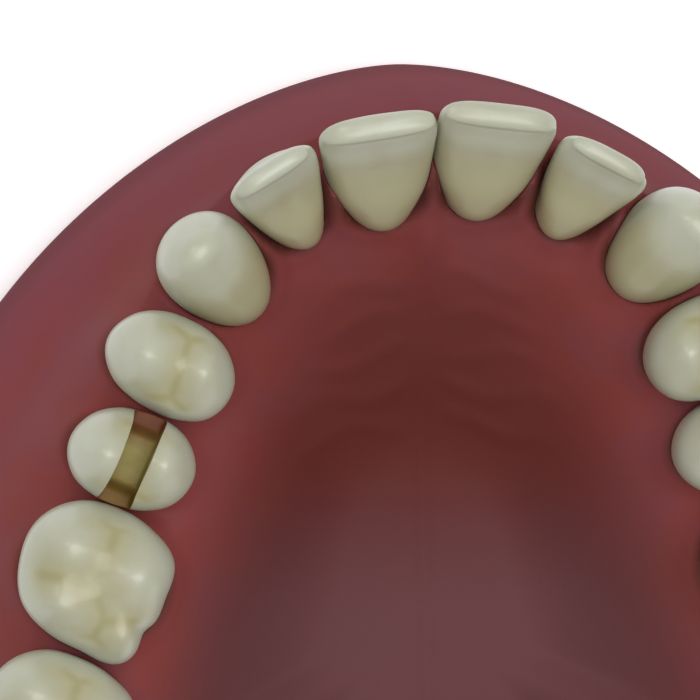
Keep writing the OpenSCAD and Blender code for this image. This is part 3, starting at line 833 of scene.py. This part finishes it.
def toothPaint():
    look = looks["tooth"]
    paint = Paint("toothEnamel", look)
    spots = paint.spots(look)
    colour = paint.blend(paint.remap(spots.outputs["Patches"], 0.35, 0.65), look["pale"], look["milky"])
    # Painted shade on the palate faces of the front teeth and in the basins of the back teeth
    colour = paint.blend(paint.remap(paint.mask("hollowShade"), 0.0, 1.0, 0.0, 0.85), colour, look["hollowShade"])
    colour = paint.blend(paint.remap(paint.mask("neck"), 0.0, 1.0, 0.0, 0.85), colour, look["neck"])
    # Painted shade in the grooves of the back teeth
    colour = paint.blend(paint.remap(paint.mask("grooveShade"), 0.1, 1.0, 0.0, 0.45), colour, look["grooveShade"])
    paint.colour(colour)
    rough = look["roughness"]
    paint.rough(paint.remap(spots.outputs["Patches"], 0.3, 0.7, rough - 0.03, rough + 0.05))
    paint.relief(spots.outputs["Grain"], 0.03, 0.0001)
    paint.shader.inputs["Subsurface Weight"].default_value = look["softness"]
    paint.shader.inputs["Subsurface Radius"].default_value = (0.0012, 0.0009, 0.0005)
    paint.shader.inputs["Coat Weight"].default_value = look["coat"]
    paint.shader.inputs["Coat Roughness"].default_value = 0.2
    return paint.material


def gumPaint():
    look = looks["gum"]
    paint = Paint("gumSilicone", look)
    spots = paint.spots(look)
    colour = paint.blend(paint.remap(spots.outputs["Patches"], 0.4, 0.6), look["lip"], look["red"])
    colour = paint.blend(paint.remap(paint.mask("slope"), 0.0, 1.0, 0.0, 0.6), colour, look["slope"])
    # Painted shade: the palate's vault much darker than the outer gum
    colour = paint.blend(paint.mask("palate"), colour, look["palate"])
    # Painted sheen: paler and greyer towards the back of the palate
    colour = paint.blend(paint.mask("throat"), colour, look["throat"])
    # Painted shadow in a thin line round each tooth's neck
    colour = paint.blend(paint.remap(paint.mask("neckShadow"), 0.2, 1.0, 0.0, 0.75), colour, look["neckShadow"])
    # Painted shade along the gum's outer edge
    colour = paint.blend(paint.remap(paint.mask("borderShade"), 0.0, 1.0, 0.0, 0.45), colour, look["borderShade"])
    paint.colour(colour)
    paint.rough(paint.remap(paint.mask("matt"), 0.0, 1.0, look["roughness"], look["roughness"] + 0.5))
    paint.relief(spots.outputs["Grain"], 0.06, 0.0002)
    paint.shader.inputs["Specular IOR Level"].default_value = look["specular"]
    paint.shader.inputs["Subsurface Weight"].default_value = look["softness"]
    paint.shader.inputs["Subsurface Radius"].default_value = (0.002, 0.0007, 0.0005)
    return paint.material


def cavityPaint():
    look = looks["cavity"]
    paint = Paint("cutCavity", look)
    spots = paint.spots(look)
    colour = paint.blend(paint.remap(spots.outputs["Patches"], 0.4, 0.7), look["floor"], look["dark"])
    place = paint.mask("end")  # millimetres from the middle, towards the midline
    # Painted shade towards both ends, where the boxes go deeper, with the gum's red as a painted reflection
    # towards the midline
    colour = paint.blend(paint.remap(place, 0.7, 2.6), colour, look["front"])
    colour = paint.blend(paint.remap(place, -0.7, -2.6), colour, look["back"])
    paint.colour(colour)
    paint.relief(spots.outputs["Grain"], 0.2, 0.0002)
    paint.shader.inputs["IOR"].default_value = 1.3
    return paint.material


def basePaint():
    look = looks["base"]
    paint = Paint("baseResin", look)
    spots = paint.spots(look)
    paint.colour(paint.blend(paint.remap(spots.outputs["Patches"], 0.35, 0.65), look["body"], look["pale"]))
    paint.relief(spots.outputs["Grain"], 0.25, 0.0003)
    return paint.material


def metalPaint(name, look):
    paint = Paint(name, look)
    paint.shader.inputs["Metallic"].default_value = 1.0
    scratches = paint.group(brushed, Scale=500.0).outputs["Scratches"]
    paint.colour(paint.blend(paint.remap(scratches, 0.35, 0.65), look["body"], look["dark"]))
    paint.rough(paint.remap(scratches, 0.3, 0.7, look["roughness"] - 0.06, look["roughness"] + 0.12))
    paint.relief(scratches, 0.15, 0.0001)
    return paint.material


materials = {
    "tooth": toothPaint(), "gum": gumPaint(), "cavity": cavityPaint(), "base": basePaint(),
    "steel": metalPaint("plateSteel", looks["steel"]), "brass": metalPaint("bushBrass", looks["brass"]),
}
print("materials made:", len(materials))


def finishPiece(piece, body, node, material):
    if not piece.data.materials:
        piece.data.materials.append(material)
    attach(piece, body)
    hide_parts(node)


for side in (0, 1):
    for kind in kinds:
        crownPiece = makeTooth(side, kind)
        crownPiece.data.materials.append(materials["tooth"])
        if (side, kind) == (cavity["side"], cavity["kind"]):
            slotCutter = ringSurface("slot_cutter", placeInJaw(cavityRings(), side, kind))
            slotCutter.data.materials.append(materials["cavity"])
            cut(crownPiece, slotCutter, transfer=True)
            places = np.empty(3 * len(crownPiece.data.vertices), np.float32)
            crownPiece.data.vertices.foreach_get("co", places)
            seat = placeInJaw(np.zeros((1, 3)), side, kind)[0]
            along = (places.reshape(-1, 3) / mm - seat) @ toothAxes(kind)[0]
            ends = crownPiece.data.attributes.new("end", "FLOAT", "POINT")
            ends.data.foreach_set("value", along.astype(np.float32))
        node = sides[side] + "_" + kind
        finishPiece(crownPiece, node + "_tooth", node, materials["tooth"])
print("teeth made:", 2 * len(kinds))

gumShape, gumMasks = gumRings()
gumPiece = ringSurface("soft_gum", gumShape, gumMasks)
seats = joined("seat_cutters", [placeInJaw(socketRings(kind, gum["socketGap"]), side, kind, True)
                                for side in (0, 1) for kind in kinds])
cut(gumPiece, seats)
finishPiece(gumPiece, "jaw", "gingiva", materials["gum"])
print("gum made:", len(gumPiece.data.polygons), "faces")

finishPiece(toothScrews(), "jaw", "tooth_screws", materials["steel"])
finishPiece(plateScrews(), "jaw", "plate_screws", materials["steel"])
finishPiece(bush(), "jaw", "threaded_bush", materials["brass"])
for node, material in (("jaw_base", "base"), ("mounting_plate", "steel")):
    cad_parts[node].material_slots[0].material = materials[material]
print("base, plate and screws made")


studio = {
    "floorSize": 5.0, "floorHeight": -0.0001, "floorColour": (0.93, 0.93, 0.93), "floorGlow": 0.25,
    "worldColour": (0.94, 0.95, 1.0), "worldStrength": 0.36,
    "keyPower": 2.2, "keySize": 0.45, "keyPlace": (-0.04, -0.03, 0.5),
    "fillPower": 0.3, "fillSize": 0.12, "fillPlace": (0.32, -0.27, 0.36),
}
view = {
    "target": (6.6, -8.6, 26.0),  # millimetres
    "tilt": 6.6, "tiltForward": -2.6, "roll": -1.7,  # degrees
    "distance": 600.0, "span": 48.5,  # millimetres
}


def makeFloor():
    half = studio["floorSize"] / 2
    low = studio["floorHeight"]
    corners = [(-half, -half, low), (half, -half, low), (half, half, low), (-half, half, low)]
    mesh = bpy.data.meshes.new("floor")
    mesh.from_pydata(corners, [], [(0, 1, 2, 3)])
    floor = bpy.data.objects.new("floor", mesh)
    bpy.context.scene.collection.objects.link(floor)
    material = bpy.data.materials.new("paleFloor")
    material.use_nodes = True
    shader = material.node_tree.nodes["Principled BSDF"]
    shader.inputs["Base Color"].default_value = (*studio["floorColour"], 1)
    shader.inputs["Roughness"].default_value = 0.8
    shader.inputs["Emission Color"].default_value = (1, 1, 1, 1)
    shader.inputs["Emission Strength"].default_value = studio["floorGlow"]
    mesh.materials.append(material)


def makeLight(name, power, size, place):
    data = bpy.data.lights.new(name, "AREA")
    data.energy, data.size = power, size
    light = bpy.data.objects.new(name, data)
    light.location = place
    light.rotation_euler = (-Vector(place)).to_track_quat("-Z", "Y").to_euler()
    bpy.context.scene.collection.objects.link(light)


def makeCamera():
    data = bpy.data.cameras.new("camera")
    data.sensor_width = 36.0
    data.lens = data.sensor_width * view["distance"] / view["span"]
    data.clip_start, data.clip_end = 0.01, 10.0
    camera = bpy.data.objects.new("camera", data)
    tilt, forward = math.radians(view["tilt"]), math.radians(view["tiltForward"])
    away = Vector((math.tan(tilt), math.tan(forward), 1)).normalized()
    up = Matrix.Rotation(math.radians(view["roll"]), 3, "Z") @ Vector((0, -1, 0))
    right = up.cross(away).normalized()
    up = away.cross(right)
    turn = Matrix((right, up, away)).transposed().to_4x4()
    place = Vector(view["target"]) * mm + away * view["distance"] * mm
    camera.matrix_world = Matrix.Translation(place) @ turn
    bpy.context.scene.collection.objects.link(camera)
    bpy.context.scene.camera = camera


makeFloor()
makeLight("key", studio["keyPower"], studio["keySize"], studio["keyPlace"])
makeLight("fill", studio["fillPower"], studio["fillSize"], studio["fillPlace"])
world = bpy.data.worlds.new("studio")
world.use_nodes = True
world.node_tree.nodes["Background"].inputs["Color"].default_value = (*studio["worldColour"], 1)
world.node_tree.nodes["Background"].inputs["Strength"].default_value = studio["worldStrength"]
bpy.context.scene.world = world
bpy.context.scene.view_settings.view_transform = "Standard"
makeCamera()
print("studio made")
